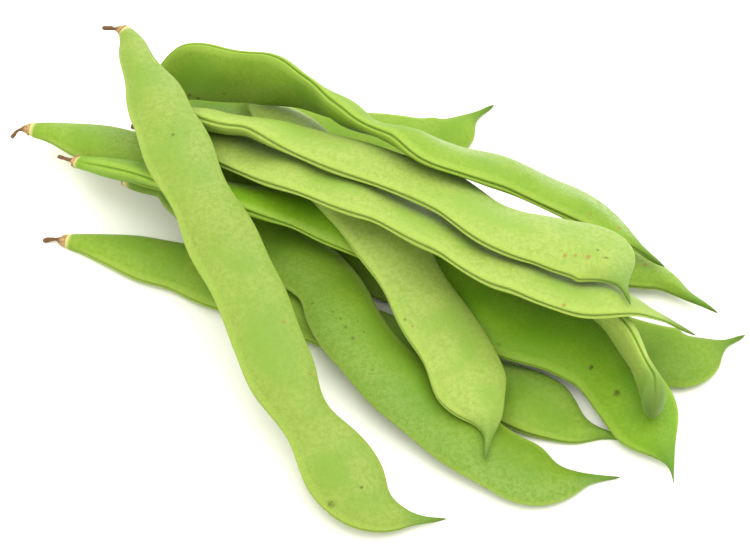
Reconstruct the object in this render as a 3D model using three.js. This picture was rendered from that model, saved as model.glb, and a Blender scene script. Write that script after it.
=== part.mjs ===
// A loose, untied heap of twelve flat green bean pods, each with its dry stalk end.
// Millimetres, +Z up. The table is the plane z = 0 and +X runs along the heap's long side.
import * as THREE from 'three';

// Driving dimensions of a pod; s is the distance from its stalk end, e from its tip
const POD_THICKNESS = 6.8;
const NECK_THICKENING = 22;
const COLLAR_RADIUS = 2.15;
const COLLAR_FLATNESS = 0.9;
const DORSAL_NECK_EASE = 1.2;
const BELLY_SHOULDER = 0.62;
const TIP_EASE = 1.4;
const BEAK_LENGTH = 7;
const BEAK_ROOT_RADIUS = 1.0;
const BEAK_END_RADIUS = 0.5;

// Seeds swell the faces and push the edges out a little
const SEED_PITCH = 27;
const SEED_SWELL = 0.35;
const EDGE_WAVE = 0.3;

// The dry stalk: a thin broken stub, then the cone of the calyx that clasps the pod
const STALK_LENGTH = 7.5;
const STALK_RADIUS = 0.6;
const CALYX_LENGTH = 3;
const CALYX_RADIUS = 2.15;
const CALYX_EASE = 0.8;

// How the pods lie on each other and on the table
const GAP = 0.35;
const PRESSED_FLAT = 0.5;
const SOFTENING_PASSES = 12;

// Fineness of the faceted solids
const POD_RINGS = 28;
const STALK_SIDES = 7;
const RINGS_TOWARDS_ENDS = 0.32;
const STATION_STEP = 2;
const GRID_CELL = 1;
const GRID_HALF = 150;

// One section of a pod, in half widths and half thicknesses, from the suture groove round.
// The groove lies between two ridges on the dorsal edge; the belly edge is plain.
const HALF_SECTION = [[1.0, 0.2], [0.84, 0.62], [0.4, 0.97], [-0.15, 1.0], [-0.7, 0.74]];
const POD_SECTION = [
  [0.955, 0],
  ...HALF_SECTION,
  [-1, 0],
  ...HALF_SECTION.map(([across, up]) => [across, -up]).reverse(),
];

// The pods from the bottom of the heap to the top. A route runs from the stalk's broken end
// to the tip, seen from above. Roll is 0 with the dorsal edge on the left of that way, 90
// with it up and 180 on the right. Roll and width are spread evenly along the pod. Lift is the
// least height of the two ends. Neck and taper are the lengths over which the pod narrows.
const PODS = [
  {
    name: 'g', width: [19, 19, 19, 20, 21, 20], neck: 54, taper: 24, seedPhase: 0.2,
    route: [[-104, 27], [-100, 27], [-96, 26], [-85, 22], [-69, 16], [-60, 14], [-42, 6], [-17, -5],
      [11, -19], [30, -29], [47, -37], [56, -43], [61, -46], [68, -47], [76, -49]],
    roll: [182, 181, 181],
    lift: [0, 0],
  },
  {
    name: 'm', width: [19, 19, 20, 22], neck: 44, taper: 17, seedPhase: 0.6,
    route: [[-24, 35], [-18, 30], [-7, 18], [14, 7], [38, -1], [59, -8], [80, -17], [88, -20],
      [95, -20], [101, -17], [106, -14], [113, -10]],
    roll: [0, 0, 0],
    lift: [0, 0],
  },
  {
    name: 'o', width: [18, 19, 18], neck: 28, taper: 20, seedPhase: 0.1,
    route: [[-80, 87], [-75, 86], [-57, 79], [-37, 74], [-8, 69], [8, 67], [18, 67], [25, 70],
      [31, 77], [39, 84]],
    roll: [0, 0, 0],
    lift: [0, 0],
  },
  {
    name: 'h', width: [17, 19, 21, 21, 22], neck: 50, taper: 26, seedPhase: 0.5,
    route: [[-84, 52], [-77, 46], [-66, 45], [-55, 36], [-31, 18], [-15, 3], [-8, -14], [6, -33],
      [19, -46], [39, -60], [51, -65], [63, -63], [72, -62]],
    roll: [0, 0, 0],
    lift: [6, 0],
  },
  {
    name: 'e', width: [18, 19, 19, 19, 18, 16], neck: 54, taper: 40, seedPhase: 0.3,
    route: [[-116, 63], [-114, 66], [-107, 65], [-100, 62], [-92, 58], [-68, 48], [-42, 43], [-8, 37],
      [26, 26], [70, 15], [82, 11], [88, 9], [94, 4], [100, 0], [105, -4]],
    roll: [187, 187, 184],
    lift: [8, 3],
  },
  {
    name: 'f', width: [17, 20, 21, 22, 22, 20], neck: 46, taper: 16, seedPhase: 0.7,
    route: [[-100, 52], [-95, 49], [-91, 46], [-83, 41], [-70, 35], [-38, 26], [-20, 23], [8, 11],
      [23, -1], [41, -15], [57, -19], [67, -25], [73, -33], [78, -41], [82, -50], [86, -57], [87, -66]],
    roll: [128, 140, 170, 186, 192, 190],
    lift: [9, 2],
  },
  {
    name: 'l', width: [18, 18, 19], neck: 30, taper: 4, beak: 1, seedPhase: 0.4,
    route: [[15, 25], [19, 23], [30, 10], [52, -8], [64, -15], [70, -21], [76, -31], [79, -40],
      [81, -46], [81, -52]],
    roll: [180, 160, 125, 98, 92],
    lift: [0, 8],
  },
  {
    name: 'i', width: [20, 20, 19, 19.5, 22, 24.5], neck: 44, taper: 21, seedPhase: 0.9,
    route: [[-45, 84], [-42, 80], [-30, 61], [-8, 24], [8, 1], [16, -14], [24, -27], [29, -40],
      [33, -50], [32, -62]],
    roll: [180, 180, 180],
    lift: [8, 4],
  },
  {
    name: 'd', width: [19, 20, 20, 20, 20, 19, 18], neck: 46, taper: 30, seedPhase: 0.15,
    route: [[-77, 59], [-72, 57], [-51, 46], [-39, 38], [-27, 30], [-11, 20], [3, 13], [13, 6],
      [24, -1], [34, -10], [43, -14], [54, -20], [66, -23], [77, -21], [83, -19], [89, -18], [96, -20]],
    roll: [158, 161, 160, 155, 155, 159, 165],
    lift: [12, 8],
  },
  {
    name: 'c', width: [19, 19, 20, 20, 21.5, 22, 22], neck: 46, taper: 12, seedPhase: 0.55,
    route: [[-71, 65], [-67, 63], [-49, 48], [-38, 45], [-21, 37], [-8, 30], [3, 25], [17, 18],
      [25, 12], [32, 5], [41, -1], [50, -4], [55, -6], [63, -9], [69, -14], [72, -20], [74, -28]],
    roll: [130, 133, 157, 162, 158, 173, 180],
    lift: [14, 14],
  },
  {
    name: 'b', width: [21, 20.5, 20.5, 20, 20.5, 25, 21, 19, 20], neck: 12, taper: 26, seedPhase: 0.35,
    route: [[-79, 78], [-75, 78], [-71, 78], [-67, 80], [-62, 81], [-56, 80], [-48, 76], [-35, 71],
      [-27, 67], [-19, 60], [-11, 53], [0, 42], [10, 36], [17, 30], [26, 27], [41, 27], [52, 25],
      [67, 22], [76, 18], [89, 9]],
    roll: [76, 75, 80, 100, 121, 130, 145, 153, 155, 158, 160],
    lift: [14, 3],
  },
  {
    name: 'a', neck: 44, taper: 26, seedPhase: 0.8,
    width: [20, 14.5, 18.6, 20.8, 18.8, 21.6, 20.2, 21.2, 15.6, 21.6, 22, 22],
    route: [[-87, 90], [-80, 88], [-76, 74], [-69, 57], [-63, 41], [-57, 27], [-51, 15], [-46, 5],
      [-36, -15], [-32, -26], [-25, -42], [-21, -49], [-14, -59], [-8, -68], [-3, -74], [2, -77],
      [12, -78], [21, -77]],
    roll: [186, 186, 186],
    lift: [30, 0],
  },
];

// Plain surfaces of the solids
const POD_SURFACE = { color: 0x9fbf4c, roughness: 0.55, metalness: 0 };
const STALK_SURFACE = { color: 0x8a7448, roughness: 0.9, metalness: 0 };

// Rises from 0 to 1 over the length, steeply at first
function easeOut(distance, length) {
  const share = THREE.MathUtils.clamp(distance / length, 0, 1);
  return Math.sin(share * Math.PI / 2);
}

// A value between those of a list that is spread evenly along the pod
function spread(values, share) {
  const place = THREE.MathUtils.clamp(share, 0, 1) * (values.length - 1);
  const index = Math.min(Math.floor(place), values.length - 2);
  const part = THREE.MathUtils.smoothstep(place - index, 0, 1);
  return THREE.MathUtils.lerp(values[index], values[index + 1], part);
}

// A pod's reach to its dorsal and its belly edge, and its half thickness, at the distance s from
// its stalk end. The dorsal edge runs straight on from the stalk and the belly edge swells first.
function podSize(pod, s, length) {
  const e = length - s;
  const beakLength = pod.beak ?? BEAK_LENGTH;
  const dorsalNeck = easeOut(s, pod.neck) ** DORSAL_NECK_EASE;
  const bellyNeck = easeOut(s, pod.neck * BELLY_SHOULDER);
  const taper = easeOut(e - beakLength, pod.taper) ** TIP_EASE;
  const beak = THREE.MathUtils.lerp(BEAK_END_RADIUS, BEAK_ROOT_RADIUS, Math.min(1, e / beakLength));
  const seedWave = Math.cos(2 * Math.PI * (s / SEED_PITCH + pod.seedPhase)) * dorsalNeck * taper;
  const fullWidth = spread(pod.width, s / length) / 2 + EDGE_WAVE * seedWave;
  const fullThickness = POD_THICKNESS / 2 - SEED_SWELL + SEED_SWELL * seedWave;
  const towardsTip = THREE.MathUtils.lerp(beak, fullWidth, taper);
  const thinning = THREE.MathUtils.lerp(beak, fullThickness, taper);
  const thickening = easeOut(s, NECK_THICKENING);
  return {
    dorsal: THREE.MathUtils.lerp(COLLAR_RADIUS, towardsTip, dorsalNeck),
    belly: THREE.MathUtils.lerp(COLLAR_RADIUS, towardsTip, bellyNeck),
    halfThickness: THREE.MathUtils.lerp(COLLAR_RADIUS * COLLAR_FLATNESS, thinning, thickening),
  };
}

// Radius of the dry stalk at the distance s from its broken end
function stalkRadius(s) {
  const calyxStart = STALK_LENGTH - CALYX_LENGTH;
  const flare = Math.max(0, s - calyxStart) / CALYX_LENGTH;
  return THREE.MathUtils.lerp(STALK_RADIUS, CALYX_RADIUS, flare ** CALYX_EASE);
}

// Where the pod's middle line runs at a distance along its route, and which way is left
function placeOn(curve, distance, routeLength) {
  const share = THREE.MathUtils.clamp(distance / routeLength, 0, 1);
  const point = curve.getPointAt(share);
  const along = curve.getTangentAt(share);
  const left = new THREE.Vector3(-along.y, along.x, 0).normalize();
  return { point, left };
}

// The points of one upright section, with its middle at the height given
function sectionPoints(place, section, size, roll, height) {
  return section.map(([across, up]) => {
    const acrossLength = across * (across > 0 ? size.dorsal : size.belly);
    const upLength = up * size.halfThickness;
    const sideways = acrossLength * Math.cos(roll) - upLength * Math.sin(roll);
    const upwards = acrossLength * Math.sin(roll) + upLength * Math.cos(roll);
    const point = place.point.clone().addScaledVector(place.left, sideways);
    point.z = height + upwards;
    return point;
  });
}

// A closed skin over rings of points, with a point at each end
function skin(rings, firstEnd, lastEnd) {
  const sides = rings[0].length;
  const points = [...rings.flat(), firstEnd, lastEnd];
  const first = points.length - 2;
  const last = points.length - 1;
  const faces = [];
  for (let side = 0; side < sides; side += 1) {
    const next = (side + 1) % sides;
    faces.push(first, next, side);
    for (let ring = 0; ring < rings.length - 1; ring += 1) {
      const here = ring * sides;
      const there = here + sides;
      faces.push(here + side, here + next, there + next);
      faces.push(here + side, there + next, there + side);
    }
    const lastRing = (rings.length - 1) * sides;
    faces.push(last, lastRing + side, lastRing + next);
  }
  points.forEach((point) => {
    point.z = Math.max(point.z, 0);
  });
  const geometry = new THREE.BufferGeometry().setFromPoints(points);
  geometry.setIndex(faces);
  geometry.computeVertexNormals();
  return geometry;
}

// The upper surface of everything laid so far, as heights on a square grid
const GRID_COUNT = 2 * GRID_HALF / GRID_CELL;
const tableLevel = -PRESSED_FLAT - GAP;
const tops = new Float32Array(GRID_COUNT * GRID_COUNT).fill(tableLevel);

function cellOf(distance) {
  return Math.floor((distance + GRID_HALF) / GRID_CELL);
}

function topNear(x, y) {
  let highest = tableLevel;
  for (let row = cellOf(y) - 1; row <= cellOf(y) + 1; row += 1) {
    for (let column = cellOf(x) - 1; column <= cellOf(x) + 1; column += 1) {
      highest = Math.max(highest, tops[row * GRID_COUNT + column]);
    }
  }
  return highest;
}

function layOnGrid(geometry) {
  const position = geometry.getAttribute('position');
  const index = geometry.getIndex();
  const corners = [new THREE.Vector3(), new THREE.Vector3(), new THREE.Vector3()];
  const triangle = new THREE.Triangle();
  const sample = new THREE.Vector3();
  const weights = new THREE.Vector3();
  for (let face = 0; face < index.count; face += 3) {
    corners.forEach((corner, turn) => corner.fromBufferAttribute(position, index.getX(face + turn)));
    const heights = corners.map((corner) => corner.z);
    corners.forEach((corner) => corner.setZ(0));
    triangle.set(...corners);
    const bounds = new THREE.Box3().setFromPoints(corners);
    for (let row = cellOf(bounds.min.y); row <= cellOf(bounds.max.y); row += 1) {
      for (let column = cellOf(bounds.min.x); column <= cellOf(bounds.max.x); column += 1) {
        sample.set((column + 0.5) * GRID_CELL - GRID_HALF, (row + 0.5) * GRID_CELL - GRID_HALF, 0);
        triangle.closestPointToPoint(sample, sample);
        const found = triangle.getBarycoord(sample, weights);
        const height = found
          ? weights.x * heights[0] + weights.y * heights[1] + weights.z * heights[2]
          : Math.max(...heights);
        const cell = cellOf(sample.y) * GRID_COUNT + cellOf(sample.x);
        tops[cell] = Math.max(tops[cell], height);
      }
    }
  }
}

// The tightest line that stays on or above every height, as a taut string laid over them
function tautOver(needed) {
  const supports = [];
  const risesTo = (from, to) => (needed[to] - needed[from]) / (to - from);
  needed.forEach((height, index) => {
    while (supports.length > 1) {
      const [before, middle] = supports.slice(-2);
      if (risesTo(before, middle) > risesTo(middle, index)) break;
      supports.pop();
    }
    supports.push(index);
  });
  return needed.map((height, index) => {
    const next = supports.findIndex((support) => support >= index);
    if (next === 0) return needed[0];
    const [before, after] = [supports[next - 1], supports[next]];
    return THREE.MathUtils.lerp(needed[before], needed[after], (index - before) / (after - before));
  });
}

// Takes the sharp bends out of a line of heights
function softened(heights) {
  return heights.map((height, index) => {
    const before = heights[Math.max(index - 1, 0)];
    const after = heights[Math.min(index + 1, heights.length - 1)];
    return (before + 2 * height + after) / 4;
  });
}

// Heights of a pod's middle line where it lies on what is already in the heap
function restingHeights(stations, lift) {
  const needed = stations.map((station) => Math.max(...station.points.map(
    (point) => topNear(point.x, point.y) + GAP - point.z,
  )));
  const last = needed.length - 1;
  needed[0] = Math.max(needed[0], lift[0]);
  needed[last] = Math.max(needed[last], lift[1]);
  let heights = tautOver(needed);
  for (let pass = 0; pass < SOFTENING_PASSES; pass += 1) {
    heights = softened(softened(heights)).map((height, index) => Math.max(height, needed[index]));
  }
  heights = softened(softened(heights));
  const shortfall = Math.max(0, ...needed.map((height, index) => height - heights[index]));
  return heights.map((height) => height + shortfall);
}

const circle = (sides) => Array.from({ length: sides }, (_, side) => {
  const angle = 2 * Math.PI * side / sides;
  return [Math.cos(angle), Math.sin(angle)];
});

function makePod(pod) {
  const routePoints = pod.route.map(([x, y]) => new THREE.Vector3(x, y, 0));
  const curve = new THREE.CatmullRomCurve3(routePoints, false, 'centripetal');
  curve.arcLengthDivisions = 600;
  const routeLength = curve.getLength();
  const podStart = STALK_LENGTH + GAP;
  const podLength = routeLength - podStart;

  const sizeAt = (distance) => {
    if (distance < podStart) {
      const radius = stalkRadius(distance);
      return { dorsal: radius, belly: radius, halfThickness: radius };
    }
    return podSize(pod, distance - podStart, podLength);
  };
  const pointsAt = (distance, section, height) => {
    const roll = THREE.MathUtils.degToRad(spread(pod.roll, (distance - podStart) / podLength));
    const place = placeOn(curve, distance, routeLength);
    return sectionPoints(place, section, sizeAt(distance), roll, height);
  };

  const stationCount = Math.ceil(routeLength / STATION_STEP) + 1;
  const stations = Array.from({ length: stationCount }, (_, index) => (
    { points: pointsAt(index * routeLength / (stationCount - 1), POD_SECTION, 0) }
  ));
  const heights = restingHeights(stations, pod.lift);
  const heightAt = (distance) => {
    const place = THREE.MathUtils.clamp(distance / routeLength, 0, 1) * (stationCount - 1);
    const index = Math.min(Math.floor(place), stationCount - 2);
    return THREE.MathUtils.lerp(heights[index], heights[index + 1], place - index);
  };
  const ringAt = (distance, section) => pointsAt(distance, section, heightAt(distance));
  const middleAt = (distance) => {
    const { point } = placeOn(curve, distance, routeLength);
    return point.clone().setZ(heightAt(distance));
  };

  const podRings = Array.from({ length: POD_RINGS }, (_, ring) => {
    const share = ring / POD_RINGS;
    const eased = THREE.MathUtils.lerp(share, (1 - Math.cos(Math.PI * share)) / 2, RINGS_TOWARDS_ENDS);
    return ringAt(podStart + eased * podLength, POD_SECTION);
  });
  const podGeometry = skin(podRings, middleAt(podStart), middleAt(routeLength));

  const calyxStart = STALK_LENGTH - CALYX_LENGTH;
  const calyxMiddle = (calyxStart + STALK_LENGTH) / 2;
  const stalkPlaces = [0, calyxStart / 2, calyxStart, calyxMiddle, STALK_LENGTH];
  const stalkRings = stalkPlaces.map((distance) => ringAt(distance, circle(STALK_SIDES)));
  const stalkGeometry = skin(stalkRings, middleAt(0), middleAt(STALK_LENGTH));

  layOnGrid(podGeometry);
  layOnGrid(stalkGeometry);
  return { podGeometry, stalkGeometry };
}

const heap = new THREE.Group();
PODS.forEach((pod) => {
  const { podGeometry, stalkGeometry } = makePod(pod);
  const podMesh = new THREE.Mesh(podGeometry, new THREE.MeshStandardMaterial(POD_SURFACE));
  podMesh.name = `pod_${pod.name}`;
  const stalkMesh = new THREE.Mesh(stalkGeometry, new THREE.MeshStandardMaterial(STALK_SURFACE));
  stalkMesh.name = `stalk_${pod.name}`;
  heap.add(podMesh, stalkMesh);
});

// The origin is on the table, under the middle of the heap
const middle = new THREE.Box3().setFromObject(heap).getCenter(new THREE.Vector3());
heap.position.set(-middle.x, -middle.y, 0);

export default heap;
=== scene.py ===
"""A loose heap of twelve flat green bean pods with their dry stalk ends, on a white table."""

import math
import random

import bmesh
import bpy
import numpy as np
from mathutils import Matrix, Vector, noise


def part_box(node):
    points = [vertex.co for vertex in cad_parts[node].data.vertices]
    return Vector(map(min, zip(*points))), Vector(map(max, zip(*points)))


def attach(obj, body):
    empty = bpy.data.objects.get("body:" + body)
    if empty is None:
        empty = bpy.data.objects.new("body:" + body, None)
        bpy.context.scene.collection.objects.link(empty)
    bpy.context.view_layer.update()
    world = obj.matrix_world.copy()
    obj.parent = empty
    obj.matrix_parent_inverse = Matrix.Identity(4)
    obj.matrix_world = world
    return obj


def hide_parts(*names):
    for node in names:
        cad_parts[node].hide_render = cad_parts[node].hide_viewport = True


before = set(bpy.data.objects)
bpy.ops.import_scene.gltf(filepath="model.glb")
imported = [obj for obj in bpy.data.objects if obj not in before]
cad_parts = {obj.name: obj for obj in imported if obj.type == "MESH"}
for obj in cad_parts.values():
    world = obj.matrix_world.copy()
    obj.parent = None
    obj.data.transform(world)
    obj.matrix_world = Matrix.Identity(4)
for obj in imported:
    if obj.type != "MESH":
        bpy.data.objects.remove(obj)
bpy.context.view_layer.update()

# The pods. A flat green bean pod is one closed leathery skin that grew over a row of seeds. Its
# upper seam is a groove between two pale ribs, its lower seam a plain pale edge, and it runs
# from the blunt shoulder at the stalk to a thin beak. Each is shaped from its solid's rings.

MM = 0.001
SECTION_POINTS = 12
HALF_SECTION = SECTION_POINTS // 2
WELD_GAP = 2e-6
SKIN_LEVELS = 3
CORRECTIONS = 4
GROOVE_DEPTH = 0.22 * MM
GROOVE_WIDTH = 0.38 * MM
RIB_HEIGHT = 0.11 * MM
RIB_PLACE = 1.15 * MM
RIB_WIDTH = 0.55 * MM
LOWER_SEAM_HEIGHT = 0.1 * MM
LOWER_SEAM_WIDTH = 0.7 * MM
LOWER_SEAM_SPAN = 5 * MM
SEED_PITCH = 23 * MM
SEED_HEIGHT = 0.6 * MM
SEED_REACH = 7 * MM
SEED_PLACE = 0.1
SEED_SPREAD = 0.55
FIRST_SEED = (0.7, 1.4)
SEED_SIZES = (0.4, 1.0)
SEED_STEPS = (0.85, 1.15)
FACE_WAVE = 0.9 * MM
FACE_WAVE_SIZE = 18 * MM
WAVE_SHIFT = 9
NECK_FADE = 12 * MM
BEAK_FADE = 9 * MM


def rings_of(cage, stalk_place):
    """The rings of points of a pod from its stalk end to its tip, and the two end points."""
    ends = [point for point in cage.verts if len(point.link_edges) == SECTION_POINTS]
    ends.sort(key=lambda point: (point.co - stalk_place).length)
    rings = []
    passed = {ends[0]}
    ring = [edge.other_vert(ends[0]) for edge in ends[0].link_edges]
    while len(ring) == SECTION_POINTS:
        rings.append(ring)
        passed.update(ring)
        ahead = {edge.other_vert(point) for point in ring for edge in point.link_edges}
        ring = list(ahead - passed)
    return rings, ends


def centre_of(ring):
    return sum((point.co for point in ring), Vector()) / len(ring)


def from_groove(ring, onward):
    """A ring's points in order, from the groove, where they lie closest, round the pod."""
    centre = centre_of(ring)
    beside = {}
    for point in ring:
        linked = [edge.other_vert(point) for edge in point.link_edges]
        beside[point] = [near for near in linked if near in ring]

    def spacing(point):
        return sum((point.co - near.co).length for near in beside[point])

    groove = min(ring, key=spacing)
    first, second = beside[groove]
    turn = (groove.co - centre).cross(first.co - centre).dot(onward)
    walk = [groove, first if turn > 0 else second]
    while len(walk) < len(ring):
        walk.append(next(point for point in beside[walk[-1]] if point not in walk))
    return walk


def pod_cage(solid, stalk_place):
    """The solid's points as a cage of quads, which knows the place of each point on the pod."""
    cage = bmesh.new()
    cage.from_mesh(solid.data)
    bmesh.ops.remove_doubles(cage, verts=cage.verts, dist=WELD_GAP)
    layers = cage.verts.layers.float
    along, girth, across = (layers.new(name) for name in ("along", "girth", "across"))
    sheet = cage.loops.layers.uv.new("skin")
    rings, ends = rings_of(cage, stalk_place)
    centres = [centre_of(ring) for ring in rings]
    onward = [ahead - here for here, ahead in zip(centres, centres[1:])]
    onward.append(onward[-1])
    rings = [from_groove(ring, way) for ring, way in zip(rings, onward)]

    diagonals = [
        cage.edges.get((near[side], far[(side + 1) % SECTION_POINTS]))
        for near, far in zip(rings, rings[1:])
        for side in range(SECTION_POINTS)
    ]
    bmesh.ops.dissolve_edges(cage, edges=diagonals, use_verts=False)

    travelled = 0.0
    side_of = {}
    for index, ring in enumerate(rings):
        if index:
            travelled += (centres[index] - centres[index - 1]).length
        half = ring[: HALF_SECTION + 1]
        spans = [(far.co - near.co).length for near, far in zip(half, half[1:])]
        belly = ring[HALF_SECTION].co
        widest = (ring[0].co - belly).length
        for side, point in enumerate(ring):
            mirrored = min(side, SECTION_POINTS - side)
            point[along] = travelled
            point[girth] = sum(spans[:mirrored])
            point[across] = 2 * (point.co - belly).dot(ring[0].co - belly) / widest**2 - 1
            side_of[point] = side
    travelled += (ends[1].co - centres[-1]).length
    ends[1][along] = travelled
    for face in cage.faces:
        sides = {side_of[point] for point in face.verts if point in side_of}
        sign = 1 if max(sides - {0, HALF_SECTION}) < HALF_SECTION else -1
        for corner in face.loops:
            corner[sheet].uv = (corner.vert[along], sign * corner.vert[girth])
    for end in ends:
        end[girth] = np.mean([edge.other_vert(end)[girth] for edge in end.link_edges])
    return cage, travelled


def smooth_skin(cage, name):
    """A fine smooth mesh that passes through the cage's points."""
    mesh = bpy.data.meshes.new(name)
    cage.to_mesh(mesh)
    cage.free()
    pod = bpy.data.objects.new(name, mesh)
    bpy.context.collection.objects.link(pod)
    smooth = pod.modifiers.new("skin", "SUBSURF")
    smooth.levels = smooth.render_levels = 1
    smooth.uv_smooth = "NONE"
    wanted = np.empty(len(mesh.vertices) * 3)
    mesh.vertices.foreach_get("co", wanted)
    held = wanted.copy()
    for _ in range(CORRECTIONS):
        shown = pod.evaluated_get(bpy.context.evaluated_depsgraph_get()).data
        reached = np.empty(len(shown.vertices) * 3)
        shown.vertices.foreach_get("co", reached)
        held += wanted - reached[: len(wanted)]
        mesh.vertices.foreach_set("co", held)
        mesh.update()
    smooth.levels = smooth.render_levels = SKIN_LEVELS
    shown = pod.evaluated_get(bpy.context.evaluated_depsgraph_get())
    pod.data = bpy.data.meshes.new_from_object(shown)
    pod.modifiers.clear()
    pod.data.name = name
    return pod


def bell(distance, width):
    return np.exp(-((distance / width) ** 2))


def fade_in(distance, length):
    share = np.clip(distance / length, 0, 1)
    return share * share * (3 - 2 * share)


def read_layer(mesh, name):
    values = np.empty(len(mesh.vertices))
    mesh.attributes[name].data.foreach_get("value", values)
    return values


def raise_details(pod, length, luck):
    """Groove, ribs, seeds and the slow waves of the faces, raised along the skin's own normals."""
    mesh = pod.data
    along, girth, across = (read_layer(mesh, name) for name in ("along", "girth", "across"))
    places = np.empty(len(mesh.vertices) * 3)
    mesh.vertices.foreach_get("co", places)
    places = places.reshape(-1, 3)
    outward = np.empty(len(mesh.vertices) * 3)
    mesh.vertex_normals.foreach_get("vector", outward)
    outward = outward.reshape(-1, 3)

    body = fade_in(along, NECK_FADE) * fade_in(length - along, BEAK_FADE)
    height = -GROOVE_DEPTH * bell(girth, GROOVE_WIDTH) * body
    height += RIB_HEIGHT * bell(girth - RIB_PLACE, RIB_WIDTH) * body
    from_lower_seam = (across + 1) * LOWER_SEAM_SPAN
    height += LOWER_SEAM_HEIGHT * bell(from_lower_seam, LOWER_SEAM_WIDTH) * body

    faces = np.clip(1 - across**2, 0, 1)
    seeds = np.zeros(len(along))
    seed = luck.uniform(*FIRST_SEED) * SEED_PITCH
    while seed < length - BEAK_FADE:
        size = luck.uniform(*SEED_SIZES)
        seeds += size * bell(along - seed, SEED_REACH) * bell(across - SEED_PLACE, SEED_SPREAD)
        seed += luck.uniform(*SEED_STEPS) * SEED_PITCH
    height += SEED_HEIGHT * seeds * body
    shift = Vector([luck.uniform(0, WAVE_SHIFT) for _ in range(3)])
    waves = [noise.noise(Vector(place) / FACE_WAVE_SIZE + shift) for place in places]
    height += FACE_WAVE * np.array(waves) * faces * body
    places += outward * height[:, None]
    places[:, 2] = np.maximum(places[:, 2], 0)
    mesh.vertices.foreach_set("co", places.ravel())
    mesh.polygons.foreach_set("use_smooth", [True] * len(mesh.polygons))
    mesh.update()


class Skin:
    """Short ways to add and join the nodes of one material."""

    def __init__(self, name):
        self.material = bpy.data.materials.new(name)
        self.material.use_nodes = True
        self.tree = self.material.node_tree
        self.shader = self.tree.nodes["Principled BSDF"]

    def put(self, value, socket):
        """A plain value on the socket itself, or a link from another node's output."""
        if isinstance(value, bpy.types.NodeSocket):
            self.tree.links.new(value, socket)
        else:
            socket.default_value = value

    def fill(self, node, sockets):
        for name, value in sockets.items():
            self.put(value, node.inputs[name])
        return node

    def add(self, kind, **sockets):
        return self.fill(self.tree.nodes.new(kind), sockets)

    def math(self, operation, *values):
        node = self.tree.nodes.new("ShaderNodeMath")
        node.operation = operation
        for value, socket in zip(values, node.inputs):
            self.put(value, socket)
        return node.outputs[0]

    def times(self, first, second):
        return self.math("MULTIPLY", first, second)

    def ramp(self, value, low, high, to_low=0.0, to_high=1.0):
        """A soft step from to_low, where the value is low, to to_high, where it is high."""
        node = self.tree.nodes.new("ShaderNodeMapRange")
        node.interpolation_type = "SMOOTHSTEP"
        limits = {"From Min": low, "From Max": high, "To Min": to_low, "To Max": to_high}
        return self.fill(node, {"Value": value, **limits}).outputs["Result"]

    def mix(self, share, first, second):
        node = self.tree.nodes.new("ShaderNodeMix")
        node.data_type = "RGBA"
        sockets = (node.inputs["Factor"], node.inputs[6], node.inputs[7])
        for value, socket in zip((share, first, second), sockets):
            self.put(value, socket)
        return node.outputs[2]

    def noise(self, where, size, detail, roughness):
        """Noise with features of that size, in metres."""
        sockets = {"Vector": where, "Scale": 1 / size, "Detail": detail, "Roughness": roughness}
        return self.add("ShaderNodeTexNoise", **sockets).outputs["Fac"]

    def attribute(self, name):
        node = self.tree.nodes.new("ShaderNodeAttribute")
        node.attribute_name = name
        return node.outputs["Fac"]


PALE_GREEN = (0.28, 0.36, 0.075, 1)
YELLOW_GREEN = (0.225, 0.302, 0.052, 1)
LEAF_GREEN = (0.195, 0.30, 0.028, 1)
RICH_GREEN = (0.155, 0.25, 0.020, 1)
# The next green, pod f's base, is painted shade: a more saturated green, as light bounced among the
# green pods looks in the heap's shade where pod f lies.
PAINTED_SHADE_GREEN = (0.165, 0.295, 0.012, 1)
# The next colour is the skin's pale bloom together with painted sheen: the lamp's broad reflection
# painted onto the faces turned up to it.
BLOOM_AND_SHEEN_GREEN = (0.30, 0.385, 0.17, 1)
RIM_GREEN = (0.32, 0.43, 0.07, 1)
# The next colour is painted shade: the dark inside the narrow groove along the upper seam.
GROOVE_SHADE_COLOUR = (0.085, 0.19, 0.010, 1)
BEAK_FLUSH = (0.075, 0.17, 0.020, 1)
BEAK_GREEN = (0.07, 0.12, 0.015, 1)
COLLAR_CREAM = (0.50, 0.45, 0.18, 1)
SCAB_BROWN = (0.05, 0.022, 0.004, 1)
RUST_BROWN = (0.27, 0.125, 0.03, 1)
SCUFF_OLIVE = (0.08, 0.09, 0.012, 1)

FRESH_SHARES = (0.68, 0.88, 0.55, 1)
FRESH_SIZE = 17 * MM
FRESH_STRENGTH = 0.85
FRESH_AT_SEAMS = 0.4
# Size, least share and run along the pod of the pale bloom with its painted sheen.
BLOOM_AND_SHEEN_SIZE = 30 * MM
BLOOM_AND_SHEEN_LEAST = 0.4
BLOOM_AND_SHEEN_RUN = (0.2, 0.6)
DEEP_SHARES = (0.72, 0.84, 0.55, 1)
GRAIN_SIZE = 1.4 * MM
GRAIN_STRENGTH = 0.75
NECK_REACH = 14 * MM
RIM_STRENGTH = 0.35
# Width, fading at the ends and strength of the painted shade in the groove.
GROOVE_SHADE_LINE = (0.05 * MM, 0.42 * MM)
GROOVE_SHADE_END = (2 * MM, 9 * MM)
GROOVE_SHADE_STRENGTH = 0.5
FLUSH_REACH = (6 * MM, 17 * MM)
FLUSH_STRENGTH = 0.6
BEAK_REACH = (1 * MM, 7 * MM)
BEAK_STRENGTH = 0.75
COLLAR_REACH = (0.3 * MM, 2.2 * MM)
MARK_GRAIN = 0.7 * MM
MARK_RAGGEDNESS = 3
MARK_EDGE = (1.6, 2.5)
MARK_STRENGTH = 0.8
PORE_SIZE = 0.7 * MM
PORE_DEPTH = 0.15 * MM
SHEEN_SIZE = 9 * MM
SHEEN_ROUGHNESS = (0.45, 0.6)
SKIN_SHINE = 0.15
GLOW_SHARE = 0.12
GLOW_COLOUR_REACH = (0.9, 1.0, 0.25)
GLOW_DEPTH = 1.5 * MM


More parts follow.
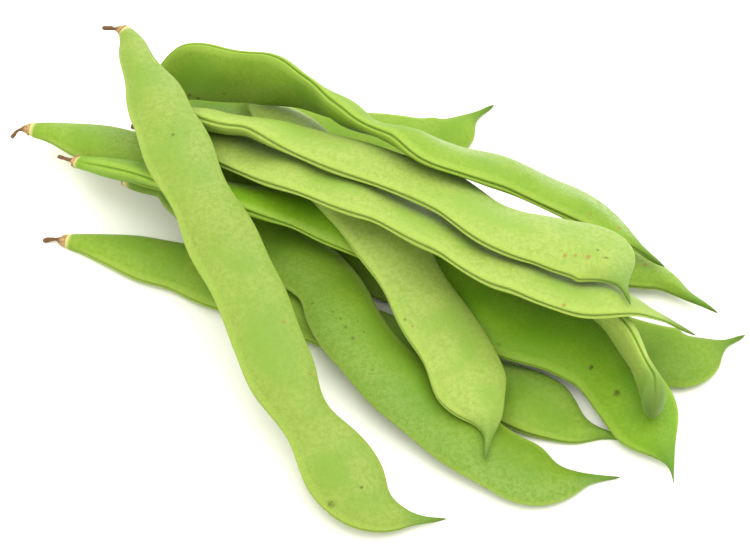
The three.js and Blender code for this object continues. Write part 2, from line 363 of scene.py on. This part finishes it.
def pod_skin(name, length, green, bloom_and_sheen_amounts, marks):
    """Leathery skin: fresher green in its hollows, a pale bloom with painted sheen towards the
    lower seam, a fine darker grain, pale seams, painted shade along the groove, a dark beak, a
    cream collar, and the marks it picked up."""
    skin = Skin(name)
    where = skin.add("ShaderNodeTexCoord").outputs["Object"]
    sheet = skin.tree.nodes.new("ShaderNodeUVMap")
    sheet.uv_map = "skin"
    split = skin.add("ShaderNodeSeparateXYZ", Vector=sheet.outputs["UV"])
    along = split.outputs["X"]
    girth = skin.math("ABSOLUTE", split.outputs["Y"])
    across = skin.attribute("across")
    from_tip = skin.math("SUBTRACT", length, along)

    fresh_green = tuple(part * share for part, share in zip(green, FRESH_SHARES))
    deep_green = tuple(part * share for part, share in zip(green, DEEP_SHARES))
    middle = skin.ramp(skin.math("ABSOLUTE", across), 0.25, 0.9, 1, 0)
    hollows = skin.ramp(skin.noise(where, FRESH_SIZE, 3, 0.55), 0.4, 0.62)
    inwards = skin.math("ADD", skin.times(middle, 1 - FRESH_AT_SEAMS), FRESH_AT_SEAMS)
    hollows = skin.times(hollows, inwards)
    colour = skin.mix(skin.times(hollows, FRESH_STRENGTH), green, fresh_green)
    # Pale bloom and painted sheen towards the lower seam, which faces up on the pods lying on edge;
    # its paleness paints the lamp's reflection there and lightens faces shaded by neighbouring
    # pods.
    bloom_and_sheen = skin.ramp(skin.noise(where, BLOOM_AND_SHEEN_SIZE, 2, 0.5), 0.2, 0.7, BLOOM_AND_SHEEN_LEAST, 1)
    bloom_and_sheen = skin.times(bloom_and_sheen, skin.ramp(across, -0.6, 0.45, 1, 0))
    bloom_and_sheen_start, bloom_and_sheen_end = (share * length for share in BLOOM_AND_SHEEN_RUN)
    bloom_and_sheen = skin.times(bloom_and_sheen, skin.ramp(along, bloom_and_sheen_start, bloom_and_sheen_end, *bloom_and_sheen_amounts))
    colour = skin.mix(bloom_and_sheen, colour, BLOOM_AND_SHEEN_GREEN)
    grain = skin.ramp(skin.noise(where, GRAIN_SIZE, 4, 0.9), 0.42, 0.6)
    colour = skin.mix(skin.times(grain, GRAIN_STRENGTH), colour, deep_green)

    neck = skin.ramp(along, 0, NECK_REACH)
    edge = skin.times(skin.ramp(skin.math("ABSOLUTE", across), 0.8, 0.98), neck)
    colour = skin.mix(skin.times(edge, RIM_STRENGTH), colour, RIM_GREEN)
    # Painted shade along the groove, fading out at the neck and before the beak.
    body = skin.times(neck, skin.ramp(from_tip, *GROOVE_SHADE_END))
    groove = skin.ramp(girth, *GROOVE_SHADE_LINE, GROOVE_SHADE_STRENGTH, 0)
    colour = skin.mix(skin.times(groove, body), colour, GROOVE_SHADE_COLOUR)
    flush = skin.ramp(from_tip, *FLUSH_REACH, FLUSH_STRENGTH, 0)
    colour = skin.mix(flush, colour, BEAK_FLUSH)
    beak = skin.ramp(from_tip, *BEAK_REACH, 1, 0)
    colour = skin.mix(skin.times(beak, BEAK_STRENGTH), colour, BEAK_GREEN)
    collar = skin.ramp(along, *COLLAR_REACH, 1, 0)
    colour = skin.mix(collar, colour, COLLAR_CREAM)

    for place, turn, size, brown in marks:
        spot = skin.add("ShaderNodeCombineXYZ", X=along, Y=split.outputs["Y"])
        gap = skin.tree.nodes.new("ShaderNodeVectorMath")
        gap.operation = "DISTANCE"
        skin.tree.links.new(spot.outputs[0], gap.inputs[0])
        gap.inputs[1].default_value = (place * MM, turn * MM, 0)
        ragged = skin.noise(where, MARK_GRAIN, 3, 0.8)
        frayed = skin.times(ragged, MARK_RAGGEDNESS * size * MM)
        distance = skin.math("ADD", gap.outputs["Value"], frayed)
        inner, outer = (edge_place * size * MM for edge_place in MARK_EDGE)
        mark = skin.ramp(distance, inner, outer, 1, 0)
        colour = skin.mix(skin.times(mark, MARK_STRENGTH), colour, brown)

    pores = skin.noise(where, PORE_SIZE, 3, 0.6)
    bump = skin.add("ShaderNodeBump", Height=pores, Strength=0.5, Distance=PORE_DEPTH)
    rough = skin.ramp(skin.noise(where, SHEEN_SIZE, 3, 0.6), 0.2, 0.8, *SHEEN_ROUGHNESS)
    dressing = {"Base Color": colour, "Normal": bump.outputs["Normal"], "Roughness": rough}
    skin.fill(skin.shader, dressing)
    skin.shader.inputs["Specular IOR Level"].default_value = SKIN_SHINE
    skin.shader.inputs["Subsurface Weight"].default_value = GLOW_SHARE
    skin.shader.inputs["Subsurface Radius"].default_value = GLOW_COLOUR_REACH
    skin.shader.inputs["Subsurface Scale"].default_value = GLOW_DEPTH
    return skin.material


# Each pod has its own green (pod f's is painted shade), the strength of its pale bloom and painted
# sheen near the stalk end and near the tip, and its marks. A mark gives its place from the stalk
# end and round from the groove in mm, its size and colour.

PODS = {
    "a": {"green": YELLOW_GREEN, "bloom_and_sheen_amounts": (0.25, 0.1), "marks": [
        (54, -12, 0.9, SCUFF_OLIVE), (180, -3, 1.4, SCUFF_OLIVE), (182, -12, 0.7, SCAB_BROWN),
        (143, -18, 0.6, RUST_BROWN), (124, -18, 0.8, RUST_BROWN)]},
    "b": {"green": LEAF_GREEN, "bloom_and_sheen_amounts": (0, 1), "marks": [
        (11, 17, 1.1, SCAB_BROWN), (14, 19, 1.3, SCAB_BROWN), (18, 21, 1.2, SCAB_BROWN),
        (28, 17, 0.6, SCUFF_OLIVE), (165, -5, 0.7, RUST_BROWN), (175, -5, 0.9, RUST_BROWN),
        (179, -8, 0.9, RUST_BROWN)]},
    "c": {"green": PALE_GREEN, "bloom_and_sheen_amounts": (0, 0.6), "marks": [
        (145, -6, 0.9, RUST_BROWN), (148, -7, 0.8, RUST_BROWN), (152, -8, 1.2, RUST_BROWN),
        (153, -12, 0.7, SCAB_BROWN), (156, -10, 0.7, SCAB_BROWN), (123, -7, 0.5, RUST_BROWN)]},
    "d": {"green": PALE_GREEN, "bloom_and_sheen_amounts": (1, 0.9), "marks": [
        (30, -10, 0.6, RUST_BROWN), (151, -2, 0.8, RUST_BROWN), (78, -5, 0.4, RUST_BROWN)]},
    "e": {"green": LEAF_GREEN, "bloom_and_sheen_amounts": (0.3, 0.4), "marks": [(202, -8, 0.8, RUST_BROWN)]},
    "f": {"green": PAINTED_SHADE_GREEN, "bloom_and_sheen_amounts": (0, 0.1), "marks": [
        (182, -8, 1.3, SCAB_BROWN), (194, -9, 1.4, SCAB_BROWN), (153, -4, 0.5, SCUFF_OLIVE)]},
    "g": {"green": LEAF_GREEN, "bloom_and_sheen_amounts": (0.1, 0.2), "marks": []},
    "h": {"green": RICH_GREEN, "bloom_and_sheen_amounts": (0.1, 0.2), "marks": [
        (104, 14, 1.0, SCUFF_OLIVE), (88, 19, 0.6, SCUFF_OLIVE), (97, 14, 0.5, SCUFF_OLIVE),
        (100, 14, 0.7, SCUFF_OLIVE), (94, 15, 0.5, SCUFF_OLIVE), (100, 10, 0.5, SCUFF_OLIVE),
        (104, 10, 0.5, SCUFF_OLIVE), (116, 16, 0.6, SCUFF_OLIVE)]},
    "i": {"green": PALE_GREEN, "bloom_and_sheen_amounts": (0.8, 0), "marks": [
        (111, -3, 0.6, SCUFF_OLIVE), (114, -4, 0.6, RUST_BROWN)]},
    "l": {"green": PALE_GREEN, "bloom_and_sheen_amounts": (0.1, 0.4), "marks": []},
    "m": {"green": RICH_GREEN, "bloom_and_sheen_amounts": (0, 0.1), "marks": []},
    "o": {"green": LEAF_GREEN, "bloom_and_sheen_amounts": (1, 0), "marks": []},
}

for letter, looks in PODS.items():
    low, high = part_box(f"stalk_{letter}")
    cage, length = pod_cage(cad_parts[f"pod_{letter}"], (low + high) / 2)
    pod = smooth_skin(cage, f"bean_pod_{letter}")
    raise_details(pod, length, random.Random(letter))
    pod.data.materials.clear()
    pod.data.materials.append(pod_skin(f"skin of pod {letter}", length, **looks))
    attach(pod, "root")
    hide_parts(f"pod_{letter}")

# The stalk ends. Each pod broke off with a thin dark stub of its stalk and the shrivelled tan
# calyx that clasped it, both fibrous and brittle. They are shaped from the stalks' solids.

STALK_CUTS = 2
STALK_ROUNDING = 0.4
CRUMPLE = 0.4 * MM
CRUMPLE_SIZE = 1.3 * MM
CALYX_REACH = 3.2 * MM
CALYX_EDGE = 0.6 * CALYX_REACH
FIBRE_SIZE = 1.0 * MM
FIBRE_STRENGTH = 0.7
FIBRE_DEPTH = 0.2 * MM
DRY_ROUGHNESS = 0.85
CALYX_TAN = (0.42, 0.26, 0.10, 1)
STUB_BROWN = (0.15, 0.07, 0.02, 1)
DRY_BROWN = (0.07, 0.035, 0.012, 1)

dry = Skin("dry stalk")
dry_place = dry.add("ShaderNodeTexCoord").outputs["Object"]
stub_share = dry.ramp(dry.attribute("from_pod"), CALYX_EDGE, CALYX_REACH)
fibres = dry.ramp(dry.noise(dry_place, FIBRE_SIZE, 4, 0.7), 0.4, 0.7)
dry_colour = dry.mix(stub_share, CALYX_TAN, STUB_BROWN)
dry_colour = dry.mix(dry.times(fibres, FIBRE_STRENGTH), dry_colour, DRY_BROWN)
dry_bump = dry.add("ShaderNodeBump", Height=fibres, Strength=0.5, Distance=FIBRE_DEPTH)
dry.fill(dry.shader, {"Base Color": dry_colour, "Normal": dry_bump.outputs["Normal"]})
dry.shader.inputs["Roughness"].default_value = DRY_ROUGHNESS

for letter in PODS:
    name = f"dry_stalk_{letter}"
    pod_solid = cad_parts[f"pod_{letter}"].data
    pod_points = np.array([point.co for point in pod_solid.vertices])
    stub = bmesh.new()
    stub.from_mesh(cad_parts[f"stalk_{letter}"].data)
    bmesh.ops.remove_doubles(stub, verts=stub.verts, dist=WELD_GAP)
    bmesh.ops.subdivide_edges(
        stub, edges=stub.edges, cuts=STALK_CUTS, use_grid_fill=True, smooth=STALK_ROUNDING
    )
    from_pod = stub.verts.layers.float.new("from_pod")
    stub.normal_update()
    for point in stub.verts:
        point[from_pod] = np.linalg.norm(pod_points - point.co, axis=1).min()
        point.co += point.normal * CRUMPLE * noise.noise(point.co / CRUMPLE_SIZE)
    mesh = bpy.data.meshes.new(name)
    stub.to_mesh(mesh)
    stub.free()
    mesh.polygons.foreach_set("use_smooth", [True] * len(mesh.polygons))
    mesh.materials.append(dry.material)
    stalk = bpy.data.objects.new(name, mesh)
    bpy.context.collection.objects.link(stalk)
    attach(stalk, "root")
    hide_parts(f"stalk_{letter}")

# The table: a plain matt white sheet under the heap, wider than any view of it.

TABLE_WHITE = (0.88, 0.87, 0.79, 1)
TABLE_ROUGHNESS = 0.8
TABLE_SIZE = 12

table = Skin("white table")
table.fill(table.shader, {"Base Color": TABLE_WHITE, "Roughness": TABLE_ROUGHNESS})
top = bmesh.new()
bmesh.ops.create_grid(top, x_segments=1, y_segments=1, size=TABLE_SIZE / 2)
table_mesh = bpy.data.meshes.new("table")
top.to_mesh(table_mesh)
top.free()
table_mesh.materials.append(table.material)
table_top = bpy.data.objects.new("table", table_mesh)
bpy.context.collection.objects.link(table_top)

# Light: a white room all round and one broad soft lamp high behind the heap, to its right.

ROOM_WHITE = (1.0, 1.0, 0.97, 1)
ROOM_BRIGHTNESS = 1.6
LAMP_PLACE = Vector((0.15, 0.2, 1.2))
LAMP_AIM = Vector((0.0, 0.0, 0.02))
LAMP_SIZE = 1.5
LAMP_POWER = 14

scene = bpy.context.scene
scene.view_settings.view_transform = "Standard"
world = bpy.data.worlds.new("white room")
scene.world = world
world.use_nodes = True
room = world.node_tree.nodes["Background"]
room.inputs["Color"].default_value = ROOM_WHITE
room.inputs["Strength"].default_value = ROOM_BRIGHTNESS

lamp_light = bpy.data.lights.new("soft lamp", "AREA")
lamp_light.shape = "SQUARE"
lamp_light.size = LAMP_SIZE
lamp_light.energy = LAMP_POWER
lamp = bpy.data.objects.new("soft lamp", lamp_light)
lamp.location = LAMP_PLACE
lamp.rotation_euler = (LAMP_AIM - LAMP_PLACE).to_track_quat("-Z", "Y").to_euler()
bpy.context.collection.objects.link(lamp)

# Camera: as the photograph was taken, from the front and above, 0.8 m away.

CAMERA_ELEVATION = math.radians(52)
CAMERA_DISTANCE = 0.8
CAMERA_AIM = Vector((0.00174, -0.00382, 0.015))
SENSOR_WIDTH = 36
PICTURE_WIDTH = 750
FOCAL_PIXELS = 2640

view_from = Vector((0, -math.cos(CAMERA_ELEVATION), math.sin(CAMERA_ELEVATION)))
eye = CAMERA_DISTANCE * view_from
camera_data = bpy.data.cameras.new("camera")
camera_data.sensor_width = SENSOR_WIDTH
camera_data.lens = FOCAL_PIXELS / PICTURE_WIDTH * SENSOR_WIDTH
camera = bpy.data.objects.new("camera", camera_data)
camera.location = CAMERA_AIM + eye
camera.rotation_euler = (-eye).to_track_quat("-Z", "Y").to_euler()
bpy.context.collection.objects.link(camera)
scene.camera = camera
